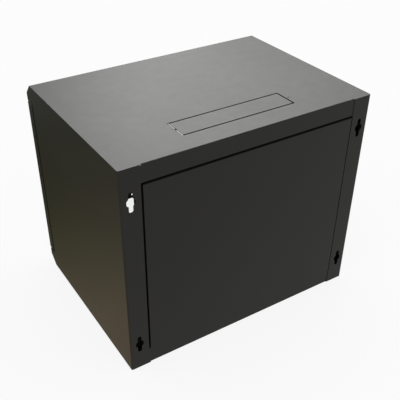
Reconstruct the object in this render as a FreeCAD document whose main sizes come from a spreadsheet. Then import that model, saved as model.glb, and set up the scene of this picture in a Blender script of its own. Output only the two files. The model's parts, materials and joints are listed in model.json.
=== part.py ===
"""Wall mount network cabinet, 9 rack units: a folded sheet steel body with a glazed front door.

X runs across the cabinet, Y from the front (-Y) to the wall (+Y), Z up. The origin is at the
middle of the overall outline's bottom face. The top and bottom panels carry bevelled noses, and
the door closes between them on two hinge pins, of which the upper one is a spring pull pin.
"""

import FreeCAD, Part
import math
import os
from types import SimpleNamespace

import Sketcher
from FreeCAD import Placement, Rotation, Vector

SIZES = (
    # alias, millimetres, what it is
    ("cabinet_width", 600.0, "over the side panels"),
    ("cabinet_height", 501.0, "over the top and bottom panels"),
    ("body_depth", 450.0, "rear face to the face of the noses"),
    ("sheet_gauge", 1.2, "body and door sheet"),
    ("bend_radius", 1.0, "inside radius of every fold"),
    ("corner_radius", 3.5, "outside radius of the upright rear corners"),
    ("bevel", 24.0, "depth and height of the nose bevel"),
    ("nose_height", 42.0, "cabinet top to the underside of the nose"),
    ("nose_lip", 12.0, "stiffening lip behind the nose"),
    ("side_top_fold", 12.0, "weld flange under the top panel"),
    ("rear_flange", 45.2, "rear flange of a side panel"),
    ("rear_lip", 32.0, "return of the rear flange into the cabinet"),
    ("front_flange", 18.0, "front flange of a side panel"),
    ("flange_lap", 10.0, "front flange behind the nose lip"),
    ("top_rail_height", 39.0, "rear fold of the top panel"),
    ("bottom_rail_height", 45.0, "rear fold of the bottom panel"),
    ("rail_notch", 1.5, "gap between rear fold and rear flange"),
    ("rail_wing", 17.0, "rear fold behind each rear flange"),
    ("rail_relief", 4.0, "relief above the wing"),
    ("lip_clearance", 1.5, "rear lip to the rear folds"),
    ("keyhole_inset", 22.5, "keyhole centre to the side face"),
    ("keyhole_top_inset", 73.0, "upper keyhole centre to the cabinet top"),
    ("keyhole_bottom_inset", 68.5, "lower keyhole centre to the cabinet bottom"),
    ("keyhole_width", 9.5, "width of the keyhole's slot"),
    ("keyhole_length", 43.5, "end to end length of the keyhole's slot"),
    ("keyhole_head", 19.0, "diameter that passes the screw head"),
    ("knockout_length", 270.0, "cable entry along X"),
    ("knockout_width", 58.0, "cable entry along Y"),
    ("knockout_rear", 53.0, "rear face to the cable entry"),
    ("knockout_kerf", 1.6, "cut along the long sides"),
    ("knockout_end_kerf", 2.6, "cut along the short ends"),
    ("knockout_tab", 5.0, "width of a breakout tab"),
    ("pilot_diameter", 3.6, "pilot hole for the edging strip"),
    ("pilot_offset", 7.0, "pilot hole to the cable entry"),
    ("plate_tight_gap", 0.4, "rear plate to the left rear flange"),
    ("plate_open_gap", 3.5, "rear plate to the right rear flange"),
    ("plate_top_gap", 2.8, "rear plate to the top rear fold"),
    ("plate_lap", 4.0, "rear plate over the bottom rear fold"),
    ("plate_return", 12.0, "side returns of the rear plate"),
    ("hook_spread", 150.0, "hooks to the middle"),
    ("hook_width", 24.0, "hooks along X"),
    ("hook_reach", 14.0, "hooks behind the bottom rear fold"),
    ("hook_play", 0.3, "hooks and stepped flange to the rear folds"),
    ("plate_flange", 15.0, "stepped flange of the rear plate, behind the top rear fold"),
    ("stud_length", 12.0, "weld stud out of its sheet"),
    ("brace_gauge", 1.5, "depth brace sheet"),
    ("brace_height", 32.0, "depth brace web"),
    ("brace_inset", 41.0, "brace to the top or bottom of the cabinet"),
    ("brace_standoff", 29.0, "side sheet to the brace's inner face"),
    ("brace_leg", 12.0, "legs of the depth brace"),
    ("brace_foot", 15.0, "weld foot on the side sheet"),
    ("brace_ear", 8.0, "ear of the rear end plate past the web"),
    ("brace_ear_hole", 4.6, "cable tie hole in the ear"),
    ("brace_ear_height", 7.2, "cable tie hole above the brace's edge"),
    ("brace_front_gap", 8.0, "front flange to brace"),
    ("brace_rear_gap", 13.0, "rear flange to brace, room for screw heads"),
    ("slot_margin", 12.0, "adjusting slot to the brace end"),
    ("rack_unit_height", 44.45, "three square holes"),
    ("rack_hole_inset", 7.55, "rail's inner edge to the holes' centres, 465.1 left to right"),
    ("rack_opening", 450.0, "clear width between mounting rails"),
    ("rack_hole", 9.5, "square hole"),
    ("rack_hole_step", 15.875, "hole to hole within a unit"),
    ("rack_hole_first", 6.35, "unit edge to its first hole"),
    ("rail_end_inset", 6.0, "mounting rail's end to the brace's far edge"),
    ("rail_gauge", 1.5, "mounting rail sheet"),
    ("rail_web", 30.0, "mounting rail's side web"),
    ("rail_return", 12.0, "mounting rail's inner return"),
    ("front_rail_setback", 70.0, "nose face to the front rails"),
    ("rear_rail_setback", 130.0, "rear face to the rear rails"),
    ("bolt_diameter", 6.0, "rail bolts and earth studs"),
    ("bolt_play", 0.6, "bolt in its hole, on the diameter"),
    ("bolt_head_height", 4.0, "height of the rail bolt's head"),
    ("bolt_inset", 18.0, "rail bolt to the rail's face"),
    ("nut_flats", 10.0, "nut across flats"),
    ("nut_height", 5.0, "nut height"),
    ("cage_body", 12.0, "cage nut's square body"),
    ("cage_depth", 5.5, "cage nut behind the rail"),
    ("cage_ear", 1.6, "cage nut's ears past the square hole"),
    ("cage_play", 0.2, "cage nut in the square hole, each side"),
    ("thread_bore", 5.0, "bore of an M6 thread"),
    ("door_proud", 3.0, "door face in front of the noses"),
    ("door_depth", 26.5, "door face to door back"),
    ("door_gap", 3.0, "door back to the front flange"),
    ("door_end_gap", 2.5, "door to each nose"),
    ("door_side_border", 62.0, "door side to the window"),
    ("door_end_border", 20.0, "door top or bottom to the window"),
    ("door_lip", 14.0, "rear lip of the door tray, left and right"),
    ("door_end_lip", 7.5, "rear lip of the door tray, above and below the glass"),
    ("window_corner", 6.0, "corner radius of the window"),
    ("glass_gauge", 4.0, "toughened glass"),
    ("glass_overlap", 12.0, "glass behind the door sheet"),
    ("seal_gauge", 1.0, "seal between sheet and glass"),
    ("seal_reveal", 2.0, "seal edge to the window edge"),
    ("clip_gauge", 1.5, "glass clip strip"),
    ("clip_width", 16.0, "glass clip along Z"),
    ("clip_reach", 8.0, "glass clip over the glass"),
    ("clip_foot", 18.0, "glass edge to the end of the clip foot"),
    ("clip_gap", 2.0, "glass edge to clip"),
    ("clip_stud", 4.0, "weld stud of a glass clip"),
    ("clip_stud_length", 7.0, "weld stud out of the door sheet"),
    ("clip_nut_flats", 7.0, "clip nut across flats"),
    ("clip_nut_height", 3.2, "clip nut height"),
    ("clip_height", 120.0, "each clip above or below the door's middle"),
    ("buffer_diameter", 9.0, "rubber door buffer"),
    ("buffer_inset", 9.0, "buffer to the side face"),
    ("buffer_end", 40.0, "buffer to the door's end"),
    ("buffer_play", 0.5, "buffer to the front flange"),
    ("pivot_inset", 8.0, "hinge axis to the side face"),
    ("pin_diameter", 8.0, "hinge pins"),
    ("pin_play", 0.1, "hinge pin in its bush, on the diameter"),
    ("pin_entry", 7.0, "hinge pin past the bush's sheet"),
    ("bush_diameter", 11.6, "bush barrel"),
    ("bush_flange", 15.0, "bush flange diameter"),
    ("bush_flange_height", 1.2, "bush flange"),
    ("bush_barrel", 3.0, "bush past the nose sheet"),
    ("collar_diameter", 12.0, "pull pin's collar"),
    ("collar_height", 2.5, "pull pin's collar"),
    ("pin_rod", 5.0, "lower part and handle of the pull pin"),
    ("pin_handle", 18.0, "length of the pull pin's handle"),
    ("pin_tail", 14.0, "rod below its bracket"),
    ("spring_length", 26.0, "spring at rest"),
    ("spring_coil", 7.6, "diameter at the middle of the wire"),
    ("spring_wire", 1.2, "spring wire"),
    ("spring_turns", 6.0, "turns of the spring"),
    ("bracket_gauge", 1.5, "pull pin bracket"),
    ("bracket_height", 14.0, "bracket on the door's side wall"),
    ("bracket_width", 18.0, "bracket along Y"),
    ("shoulder_diameter", 13.0, "lower pin's shoulder"),
    ("shoulder_play", 0.1, "shoulder to the lower bush"),
    ("rivet_neck", 7.0, "lower pin through the door"),
    ("rivet_head", 11.0, "lower pin's riveted head"),
    ("lock_inset", 32.0, "lock axis to the side face"),
    ("lock_head", 6.0, "lock head out of the door face"),
    ("lock_head_diameter", 23.0, "lock head"),
    ("lock_body", 19.0, "lock body diameter"),
    ("lock_length", 28.0, "lock body behind the door face"),
    ("lock_plug", 12.0, "turning plug"),
    ("lock_play", 0.1, "plug in its body, on the diameter"),
    ("lock_nut_flats", 24.0, "lock nut across flats"),
    ("lock_nut_height", 5.0, "lock nut"),
    ("key_slot", 1.6, "key slot width"),
    ("key_slot_length", 8.0, "key slot length"),
    ("key_slot_depth", 12.0, "key slot depth"),
    ("cam_gauge", 2.0, "lock cam"),
    ("cam_width", 14.0, "lock cam across"),
    ("cam_length", 24.0, "lock axis to the cam's tip"),
    ("cam_clearance", 0.4, "cam to the back of the front flange"),
    ("tang", 7.0, "square tang of the plug"),
    ("cam_screw_head", 10.0, "cam screw's head"),
    ("cam_screw_height", 3.0, "cam screw's head"),
    ("cam_screw_shank", 4.0, "cam screw's shank"),
    ("earth_offset", 60.0, "earth stud to the rear face"),
    ("earth_spread", 200.0, "earth stud to the middle"),
    ("door_earth_height", 40.0, "door's earth stud above the door's bottom"),
    ("door_earth_inset", 24.0, "door's earth stud to the side face"),
)

HALF_MITRE = math.tan(math.radians(22.5))  # a 45 degree fold's corner moves by this per gauge

doc = FreeCAD.newDocument("wall_mount_network_cabinet")
sheet = doc.addObject("Spreadsheet::Sheet", "sizes")


class Size:
    """A length held as an expression on the sheet's cells, with its present value."""

    def __init__(self, words, value):
        self.words = words
        self.value = value

    def __float__(self):
        return float(self.value)

    def __add__(self, other):
        other = size(other)
        return Size(f"({self.words} + {other.words})", self.value + other.value)

    def __sub__(self, other):
        other = size(other)
        return Size(f"({self.words} - {other.words})", self.value - other.value)

    def __mul__(self, other):
        other = size(other)
        return Size(f"({self.words} * {other.words})", self.value * other.value)

    def __truediv__(self, other):
        other = size(other)
        return Size(f"({self.words} / {other.words})", self.value / other.value)

    def __neg__(self):
        return Size(f"(-1 * {self.words})", -self.value)


def size(value):
    """A number or a Size, as a Size."""
    return value if isinstance(value, Size) else Size(f"{float(value):.10g}", float(value))


def whole(length):
    """A Size rounded down to a whole number."""
    return Size(f"floor({length.words})", float(math.floor(length.value)))


def fill_sheet():
    """Writes the driving dimensions with their aliases, and returns them by name."""
    named = {}
    for row, (alias, value, words) in enumerate(SIZES, 1):
        sheet.set(f"A{row}", words)
        sheet.set(f"B{row}", repr(value))
        sheet.setAlias(f"B{row}", alias)
        named[alias] = Size(f"sizes.{alias}", value)
    doc.recompute()
    return SimpleNamespace(**named)


s = fill_sheet()

# Planes and places that several pieces share
half = s.cabinet_width / 2
high = s.cabinet_height
middle = high / 2
gauge = s.sheet_gauge
fold = gauge + s.bend_radius
mitre = gauge * HALF_MITRE
rear = (s.body_depth + s.door_proud + s.lock_head) / 2
nose = rear - s.body_depth
bevel_start = nose + s.bevel
nose_under = high - s.nose_height
door_face = nose - s.door_proud
door_back = door_face + s.door_depth
side_front = door_back + s.door_gap
door_inside = door_face + gauge
door_low = s.nose_height + s.door_end_gap
door_high = nose_under - s.door_end_gap
flange_inner = half - s.rear_flange
side_inside = half - gauge
top_rail_low = high - s.top_rail_height
window_half = half - s.door_side_border
window_low = door_low + s.door_end_border
window_high = door_high - s.door_end_border
glass_half = window_half + s.glass_overlap
glass_low = window_low - s.glass_overlap
glass_high = window_high + s.glass_overlap
clip_heights = [middle + s.clip_height * way for way in (-1, 1)]
pivot_x = -half + s.pivot_inset
pivot_y = door_face + s.door_depth / 2
lock_x = half - s.lock_inset
brace_face = side_inside - s.brace_standoff
brace_top = high - s.brace_inset
brace_low = brace_top - s.brace_height
brace_front = side_front + gauge + s.brace_front_gap
brace_rear = rear - gauge - s.brace_rear_gap
bolt_z = brace_top - s.brace_height / 2 - s.brace_gauge
front_rail = nose + s.front_rail_setback
rail_middle = (front_rail + rear - s.rear_rail_setback) / 2
rail_top = brace_top - s.rail_end_inset
rack_units = whole((rail_top * 2 - high) / s.rack_unit_height)
rack_low = middle - s.rack_unit_height * rack_units / 2
rack_high = middle + s.rack_unit_height * rack_units / 2
rack_column = s.rack_opening / 2 + s.rack_hole_inset

ACROSS_X = Vector(1, 0, 0)
ACROSS_Y = Vector(0, 1, 0)
ACROSS_Z = Vector(0, 0, 1)


# Helpers that draw and extrude


def new_body(label):
    made = doc.addObject("PartDesign::Body", label)
    made.Label = label
    return made


def new_sketch(body, plane, offset):
    """A sketch parallel to one of the body's own origin planes."""
    made = body.newObject("Sketcher::SketchObject", f"{body.Name}_sketch")
    role = f"{plane}_Plane"
    face = next(f for f in body.Origin.OriginFeatures if f.Role == role)
    made.AttachmentSupport = [(face, "")]
    made.MapMode = "FlatFace"
    made.setExpression("AttachmentOffset.Base.z", size(offset).words)
    return made


def bind(drawing, kind, places, measure):
    """A dimension of the sketch that follows its expression."""
    measure = size(measure)
    index = drawing.addConstraint(Sketcher.Constraint(kind, *places, measure.value))
    drawing.setExpression(f"Constraints[{index}]", measure.words)


def pin_point(drawing, curve, end, across, up):
    bind(drawing, "DistanceX", (-1, 1, curve, end), across)
    bind(drawing, "DistanceY", (-1, 1, curve, end), up)


def polygon(*corners):
    """Draws a closed outline through corners, each (across, up)."""

    def draw(drawing):
        points = [Vector(float(size(u)), float(size(v)), 0) for u, v in corners]
        first = drawing.GeometryCount
        count = len(points)
        lines = [Part.LineSegment(points[i], points[(i + 1) % count]) for i in range(count)]
        drawing.addGeometry(lines)
        for i in range(count):
            joint = Sketcher.Constraint("Coincident", first + i, 2, first + (i + 1) % count, 1)
            drawing.addConstraint(joint)
        for i, (u, v) in enumerate(corners):
            pin_point(drawing, first + i, 1, u, v)

    return draw


def rectangle(u0, v0, u1, v1):
    return polygon((u0, v0), (u1, v0), (u1, v1), (u0, v1))


def circle(u, v, diameter):
    def draw(drawing):
        centre = Vector(float(size(u)), float(size(v)), 0)
        radius = size(diameter) / 2
        index = drawing.addGeometry(Part.Circle(centre, Vector(0, 0, 1), radius.value))
        pin_point(drawing, index, 3, u, v)
        bind(drawing, "Radius", (index,), radius)

    return draw


def slot(u, v, length, width, upright):
    """A round ended slot centred on (u, v), along the second axis when upright."""
    reach = (size(length) - width) / 2
    radius = size(width) / 2

    def draw(drawing):
        centre = Vector(float(size(u)), float(size(v)), 0)
        run = Vector(0, 1, 0) if upright else Vector(1, 0, 0)
        side = Vector(-run.y, run.x, 0)
        first = drawing.GeometryCount
        turn = math.atan2(side.y, side.x)
        for sign in (1, -1):
            hub = centre + run * (sign * reach.value)
            ring = Part.Circle(hub, Vector(0, 0, 1), radius.value)
            start = turn - math.pi if sign > 0 else turn
            drawing.addGeometry(Part.ArcOfCircle(ring, start, start + math.pi))
        for sign in (1, -1):
            offset = side * (sign * radius.value)
            tips = [centre + run * (-sign * reach.value * k) + offset for k in (-1, 1)]
            drawing.addGeometry(Part.LineSegment(tips[0], tips[1]))
        for a, b, c, d in ((0, 2, 2, 1), (2, 2, 1, 1), (1, 2, 3, 1), (3, 2, 0, 1)):
            drawing.addConstraint(Sketcher.Constraint("Tangent", first + a, b, first + c, d))
        for arc, sign in ((0, 1), (1, -1)):
            shift = reach * sign
            place = (u, size(v) + shift) if upright else (size(u) + shift, v)
            pin_point(drawing, first + arc, 3, *place)
        bind(drawing, "Radius", (first,), radius)

    return draw


def hexagon(u, v, flats):
    """A hexagon with two flats square to the first axis."""
    near = size(flats) / 2
    edge = near * math.tan(math.radians(30))
    far = edge * 2
    u, v = size(u), size(v)
    return polygon(
        (u + near, v - edge), (u + near, v + edge), (u, v + far),
        (u - near, v + edge), (u - near, v - edge), (u, v - far),
    )


def extrude(body, plane, start, length, *drawings, cut=False):
    """Pads, or pockets, outlines from start towards the plane's positive axis, over length."""
    start, length = size(start), size(length)
    if plane == "XZ":  # this plane's normal is -Y
        offset = -start if cut else -(start + length)
    else:
        offset = start + length if cut else start
    drawing = new_sketch(body, plane, offset)
    for draw in drawings:
        draw(drawing)
    kind = "PartDesign::Pocket" if cut else "PartDesign::Pad"
    made = body.newObject(kind, f"{body.Name}_{'cut' if cut else 'pad'}")
    made.Profile = drawing
    made.setExpression("Length", length.words)
    before = body.Shape.Volume if cut else 0.0
    doc.recompute()
    if cut and body.Shape.Volume >= before - 1e-6:
        raise RuntimeError(f"{made.Name} cuts nothing")
    return made


def cut(body, plane, start, length, *drawings):
    return extrude(body, plane, start, length, *drawings, cut=True)


def runs_along(edge, axis):
    """Whether an edge is straight and lies along the axis."""
    if len(edge.Vertexes) != 2:
        return False
    way = edge.Vertexes[1].Point - edge.Vertexes[0].Point
    return abs(edge.Length - abs(way["XYZ".index(axis)])) < 1e-6


def edges_at(shape, axis, places):
    """Names of the straight edges along an axis that pass through the places across it."""
    found = []
    others = [i for i in range(3) if i != "XYZ".index(axis)]
    for number, edge in enumerate(shape.Edges, 1):
        if not runs_along(edge, axis):
            continue
        at = edge.CenterOfMass
        for place in places:
            if all(abs(at[i] - float(size(p))) < 1e-4 for i, p in zip(others, place)):
                found.append(f"Edge{number}")
    return found


def round_edges(body, radius, axis, *places):
    """Rounds the edges along an axis at these places, each the two coordinates across it."""
    base = body.Tip
    names = edges_at(base.Shape, axis, places)
    if not names:
        raise RuntimeError(f"{body.Name} has no edge along {axis} to round")
    made = body.newObject("PartDesign::Fillet", f"{body.Name}_bend")
    made.Base = (base, names)
    made.setExpression("Radius", size(radius).words)
    doc.recompute()
    return made


def mirrored(label, source, normal, through=0):
    """The source turned over a plane square to normal, which lies at through along it."""
    made = doc.addObject("Part::Mirroring", label)
    made.Label = label
    made.Source = source
    made.Normal = normal
    axis = "xyz"[max(range(3), key=lambda i: abs(normal[i]))]
    made.setExpression(f"Base.{axis}", size(through).words)
    doc.recompute()
    return made


def together(label, *sources):
    """Separate solids of one kind, kept under one name."""
    made = doc.addObject("Part::Compound", label)
    made.Label = label
    made.Links = list(sources)
    doc.recompute()
    return made


def in_pair(label, source, normal, through=0):
    return together(label, source, mirrored(f"{label}_other", source, normal, through))


def turned_over(made):
    """Turns a piece made for the top of the cabinet over to its bottom."""
    made.Placement = Placement(Vector(0, 0, 0), Rotation(Vector(0, 1, 0), 180))
    made.setExpression("Placement.Base.z", high.words)
    doc.recompute()
    return made


# The folded body


def panel(label, rail_height, hinge_side, with_earth_stud):
    """A top panel: rear fold, flat, bevel, nose, and the nose's return with its lip."""
    made = new_body(label)
    rail_half = flange_inner - s.rail_notch
    wing_half = flange_inner + s.rail_wing
    rail_low = high - rail_height
    strip = rear - gauge - fold * 2
    rear_fold = polygon(
        (strip, high), (rear - gauge, high), (rear - gauge, rail_low), (rear - gauge * 2, rail_low),
        (rear - gauge * 2, high - gauge), (strip, high - gauge),
    )
    extrude(made, "YZ", -rail_half, rail_half * 2, rear_fold)
    round_edges(made, fold, "X", (rear - gauge, high))
    round_edges(made, s.bend_radius, "X", (rear - gauge * 2, high - gauge))
    section = polygon(
        (strip, high), (bevel_start, high), (nose, high - s.bevel), (nose, nose_under),
        (side_front, nose_under), (side_front, nose_under + s.nose_lip),
        (side_front - gauge, nose_under + s.nose_lip), (side_front - gauge, nose_under + gauge),
        (nose + gauge, nose_under + gauge), (nose + gauge, high - s.bevel - mitre),
        (bevel_start + mitre, high - gauge), (strip, high - gauge),
    )
    extrude(made, "YZ", -half, s.cabinet_width, section)
    outer = ((bevel_start, high), (nose, high - s.bevel), (nose, nose_under))
    round_edges(made, fold, "X", *outer, (side_front, nose_under))
    inner = ((bevel_start + mitre, high - gauge), (nose + gauge, high - s.bevel - mitre))
    backs = ((nose + gauge, nose_under + gauge), (side_front - gauge, nose_under + gauge))
    round_edges(made, s.bend_radius, "X", *inner, *backs)
    trim = rectangle(nose + gauge, nose_under - gauge, side_front + gauge,
                     nose_under + s.nose_lip + gauge)
    cut(made, "YZ", -half, gauge, trim)
    cut(made, "YZ", side_inside, gauge, trim)
    wing_top = high - s.rail_relief
    for side in (-1, 1):
        corner = rectangle(rail_half * side, strip, half * side, rear)
        extrude(made, "XY", high - gauge, gauge, corner)
        wing = rectangle((rail_half - gauge) * side, rail_low, wing_half * side, wing_top)
        extrude(made, "XZ", rear - gauge * 2, gauge, wing)
    round_edges(made, s.corner_radius, "Z", (-half, rear), (half, rear))
    entry_rear = rear - s.knockout_rear
    entry_front = entry_rear - s.knockout_width
    entry_half = s.knockout_length / 2
    entry = rectangle(-entry_half, entry_front, entry_half, entry_rear)
    pilots = [
        circle((entry_half + s.pilot_offset) * side, (entry_front + entry_rear) / 2,
               s.pilot_diameter)
        for side in (-1, 1)
    ]
    cut(made, "XY", high - gauge, gauge, entry, *pilots)
    bush_hole = circle(pivot_x * -hinge_side, pivot_y, s.bush_diameter + s.pin_play)
    cut(made, "XY", nose_under, gauge, bush_hole)
    if with_earth_stud:
        stud = circle(-s.earth_spread, rear - s.earth_offset, s.bolt_diameter)
        extrude(made, "XY", high - gauge - s.stud_length, s.stud_length, stud)
    return made


def side_panel(label):
    """The left side panel: bevelled web with rear, front, top and bottom flanges."""
    made = new_body(label)
    web = polygon(
        (rear, gauge), (rear, high - gauge), (bevel_start + mitre, high - gauge),
        (nose + gauge, high - s.bevel - mitre), (nose + gauge, nose_under),
        (side_front, nose_under), (side_front, s.nose_height), (nose + gauge, s.nose_height),
        (nose + gauge, s.bevel + mitre), (bevel_start + mitre, gauge),
    )
    extrude(made, "YZ", -half, gauge, web)
    corners = [
        place
        for low in (True, False)
        for place in (
            (bevel_start + mitre, gauge if low else high - gauge),
            (nose + gauge, s.bevel + mitre if low else high - s.bevel - mitre),
        )
    ]
    round_edges(made, s.bend_radius * 1.5, "X", *corners)
    rear_edge = rectangle(-half, gauge, -flange_inner, high - gauge)
    extrude(made, "XZ", rear - gauge, gauge, rear_edge)
    round_edges(made, s.corner_radius, "Z", (-half, rear))
    round_edges(made, s.corner_radius - gauge, "Z", (-side_inside, rear - gauge))
    lip = rectangle(-flange_inner - gauge, s.bottom_rail_height + s.lip_clearance,
                    -flange_inner, top_rail_low - s.lip_clearance)
    extrude(made, "XZ", rear - s.rear_lip, s.rear_lip, lip)
    front_edge = rectangle(-half, s.nose_height - s.flange_lap, -half + s.front_flange,
                           nose_under + s.flange_lap)
    extrude(made, "XZ", side_front, gauge, front_edge)
    weld_front = side_front + s.brace_front_gap
    weld_flange = rectangle(-side_inside, weld_front, -half + s.side_top_fold,
                            rear - s.corner_radius * 2)
    for low in (gauge, high - gauge * 2):
        extrude(made, "XY", low, gauge, weld_flange)
    round_edges(made, s.bend_radius, "Z", (-flange_inner, rear))
    heights = (high - s.keyhole_top_inset, s.keyhole_bottom_inset)
    keyhole_x = -half + s.keyhole_inset
    slots = [slot(keyhole_x, z, s.keyhole_length, s.keyhole_width, True) for z in heights]
    cut(made, "XZ", rear - gauge, gauge, *slots)
    heads = [circle(keyhole_x, z, s.keyhole_head) for z in heights]
    cut(made, "XZ", rear - gauge, gauge, *heads)
    return made


def knockout(label):
    """The cable entry's plate, held by a breakout tab in the middle of each side."""
    made = new_body(label)
    near = rear - s.knockout_rear
    far = near - s.knockout_width
    centre = (near + far) / 2
    reach = s.knockout_length / 2
    tab = s.knockout_tab / 2
    plate_half = reach - s.knockout_end_kerf
    plate = rectangle(-plate_half, far + s.knockout_kerf, plate_half, near - s.knockout_kerf)
    extrude(made, "XY", high - gauge, gauge, plate)
    extrude(made, "XY", high - gauge, gauge, rectangle(-reach, centre - tab, reach, centre + tab))
    extrude(made, "XY", high - gauge, gauge, rectangle(-tab, far, tab, near))
    return made


def rear_plate(label):
    """The lift-off rear plate: a stepped flange above, side returns, and two hooks below."""
    made = new_body(label)
    left = -flange_inner + s.plate_tight_gap
    right = flange_inner - s.plate_open_gap
    low = s.bottom_rail_height - s.plate_lap
    top = top_rail_low - s.plate_top_gap
    behind = rear - gauge * 2 - s.hook_play
    section = polygon(
        (rear, low), (rear, top), (behind, top), (behind, top + s.plate_flange),
        (behind - gauge, top + s.plate_flange), (behind - gauge, top - gauge),
        (rear - gauge, top - gauge), (rear - gauge, low),
    )
    extrude(made, "YZ", left, right - left, section)
    round_edges(made, gauge / 2, "X", (rear, top))
    returns_low = s.bottom_rail_height + s.lip_clearance
    extrude(
        made, "XZ", rear - s.plate_return, s.plate_return,
        rectangle(left, returns_low, left + gauge, top - gauge),
        rectangle(right - gauge, returns_low, right, top - gauge),
    )
    inner = rear - gauge
    root = s.bottom_rail_height + s.hook_reach
    step_top = s.bottom_rail_height + s.hook_reach / 2
    step_low = step_top - gauge - s.hook_play
    slant = gauge * HALF_MITRE
    hook = polygon(
        (inner, root), (inner, step_top), (behind, step_low),
        (behind, s.bottom_rail_height - s.hook_reach),
        (behind - gauge, s.bottom_rail_height - s.hook_reach), (behind - gauge, step_low + slant),
        (inner - gauge, step_top + slant), (inner - gauge, root),
    )
    for side in (-1, 1):
        extrude(made, "YZ", s.hook_spread * side - s.hook_width / 2, s.hook_width, hook)
    return made


def nut(label, plane, start, height, u, v, flats, bore):
    """A hexagon nut, bored, on a stud square to the plane."""
    made = new_body(label)
    extrude(made, plane, start, height, hexagon(u, v, flats), circle(u, v, bore))
    return made


# The rack inside


def depth_brace(label):
    """The upper left brace: a channel along Y on two end plates welded to the side panel."""
    made = new_body(label)
    inner = -brace_face
    outer = inner - s.brace_leg
    thick = s.brace_gauge
    channel = polygon(
        (inner, brace_top), (outer, brace_top), (outer, brace_top - thick),
        (inner - thick, brace_top - thick), (inner - thick, brace_low + thick),
        (outer, brace_low + thick), (outer, brace_low), (inner, brace_low),
    )
    extrude(made, "XZ", brace_front, brace_rear - brace_front, channel)
    front_end = rectangle(-side_inside, brace_low, inner, brace_top)
    rear_end = rectangle(-side_inside, brace_low, inner + s.brace_ear, brace_top)
    tie_hole = circle(inner + s.brace_ear / 2 - s.brace_gauge / 2, brace_low + s.brace_ear_height,
                      s.brace_ear_hole)
    foot = rectangle(-side_inside, brace_low, -side_inside + thick, brace_top)
    extrude(made, "XZ", brace_front, thick, front_end)
    extrude(made, "XZ", brace_rear - thick, thick, rear_end, tie_hole)
    extrude(made, "XZ", brace_front, s.brace_foot, foot)
    extrude(made, "XZ", brace_rear - s.brace_foot, s.brace_foot, foot)
    slot_length = brace_rear - brace_front - s.slot_margin * 2
    adjusting = slot((brace_front + brace_rear) / 2, bolt_z, slot_length,
                     s.bolt_diameter + s.bolt_play, False)
    cut(made, "YZ", inner - thick, thick, adjusting)
    return made


def mounting_rail(label):
    """The front left rail: a channel with square holes in its face, three to a rack unit."""
    made = new_body(label)
    outer = -brace_face
    inner = -s.rack_opening / 2
    thick = s.rail_gauge
    section = polygon(
        (outer, front_rail), (inner, front_rail), (inner, front_rail + s.rail_return),
        (inner - thick, front_rail + s.rail_return), (inner - thick, front_rail + thick),
        (outer + thick, front_rail + thick), (outer + thick, front_rail + s.rail_web),
        (outer, front_rail + s.rail_web),
    )
    extrude(made, "XY", high - rail_top, rail_top * 2 - high, section)
    round_edges(made, s.rail_gauge, "Z", (outer, front_rail), (inner, front_rail))
    reach = s.rack_hole / 2
    column = -rack_column
    holes = []
    for step in range(3):
        z = rack_low + s.rack_hole_first + s.rack_hole_step * step
        holes.append(rectangle(column - reach, z - reach, column + reach, z + reach))
    unit = cut(made, "XZ", front_rail, thick, *holes)
    column_of_holes = made.newObject("PartDesign::LinearPattern", f"{label}_units")
    column_of_holes.Originals = [unit]
    upright = next(f for f in made.Origin.OriginFeatures if f.Role == "Z_Axis")
    column_of_holes.Direction = (upright, [""])
    column_of_holes.setExpression("Length", (s.rack_unit_height * (rack_units - 1)).words)
    column_of_holes.setExpression("Occurrences", rack_units.words)
    made.Tip = column_of_holes
    doc.recompute()
    bolt_y = front_rail + s.bolt_inset
    bolt_holes = [circle(bolt_y, z, s.bolt_diameter + s.bolt_play)
                  for z in (bolt_z, high - bolt_z)]
    cut(made, "YZ", outer, thick, *bolt_holes)
    return made


def at_each_rail(label, made):
    """Repeats a piece at the upper left front rail at the other seven rail ends."""
    ends = in_pair(f"{label}_column", made, ACROSS_Z, middle)
    sides = in_pair(f"{label}_side", ends, ACROSS_Y, rail_middle)
    return in_pair(label, sides, ACROSS_X)


def rail_bolts(label):
    made = new_body(f"{label}_one")
    place = (front_rail + s.bolt_inset, bolt_z)
    seat = -brace_face - s.brace_gauge
    head = hexagon(*place, s.nut_flats)
    extrude(made, "YZ", seat - s.bolt_head_height, s.bolt_head_height, head)
    grip = s.brace_gauge + s.rail_gauge + s.nut_height * 1.4
    extrude(made, "YZ", seat, grip, circle(*place, s.bolt_diameter))
    return at_each_rail(label, made)


def rail_nuts(label):
    made = nut(f"{label}_one", "YZ", -brace_face + s.rail_gauge, s.nut_height,
               front_rail + s.bolt_inset, bolt_z, s.nut_flats, s.bolt_diameter + s.pin_play)
    return at_each_rail(label, made)


def cage_nut(label, row):
    """A cage nut in the left front rail, in the given hole counted down from the top."""
    made = new_body(label)
    x = -rack_column
    z = rack_high - s.rack_hole_first - s.rack_hole_step * row
    body, neck = s.cage_body / 2, s.rack_hole / 2 - s.cage_play
    bore = circle(x, z, s.thread_bore)
    back = front_rail + s.rail_gauge
    extrude(made, "XZ", back, s.cage_depth, rectangle(x - body, z - body, x + body, z + body), bore)
    collar = rectangle(x - neck, z - neck, x + neck, z + neck)
    extrude(made, "XZ", front_rail - s.cage_play, s.rail_gauge + s.cage_play, collar, bore)
    for side in (-1, 1):
        inner, outer = neck * side, (neck + s.cage_ear) * side
        ear = rectangle(x + inner, z - neck * 0.8, x + outer, z + neck * 0.8)
        extrude(made, "XZ", front_rail - s.cage_play * 5, s.cage_play * 5, ear)
        root = rectangle(x + inner * 0.7, z - neck * 0.8, x + inner, z + neck * 0.8)
        extrude(made, "XZ", front_rail - s.cage_play * 5, s.cage_play * 5, root)
    return made


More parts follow.
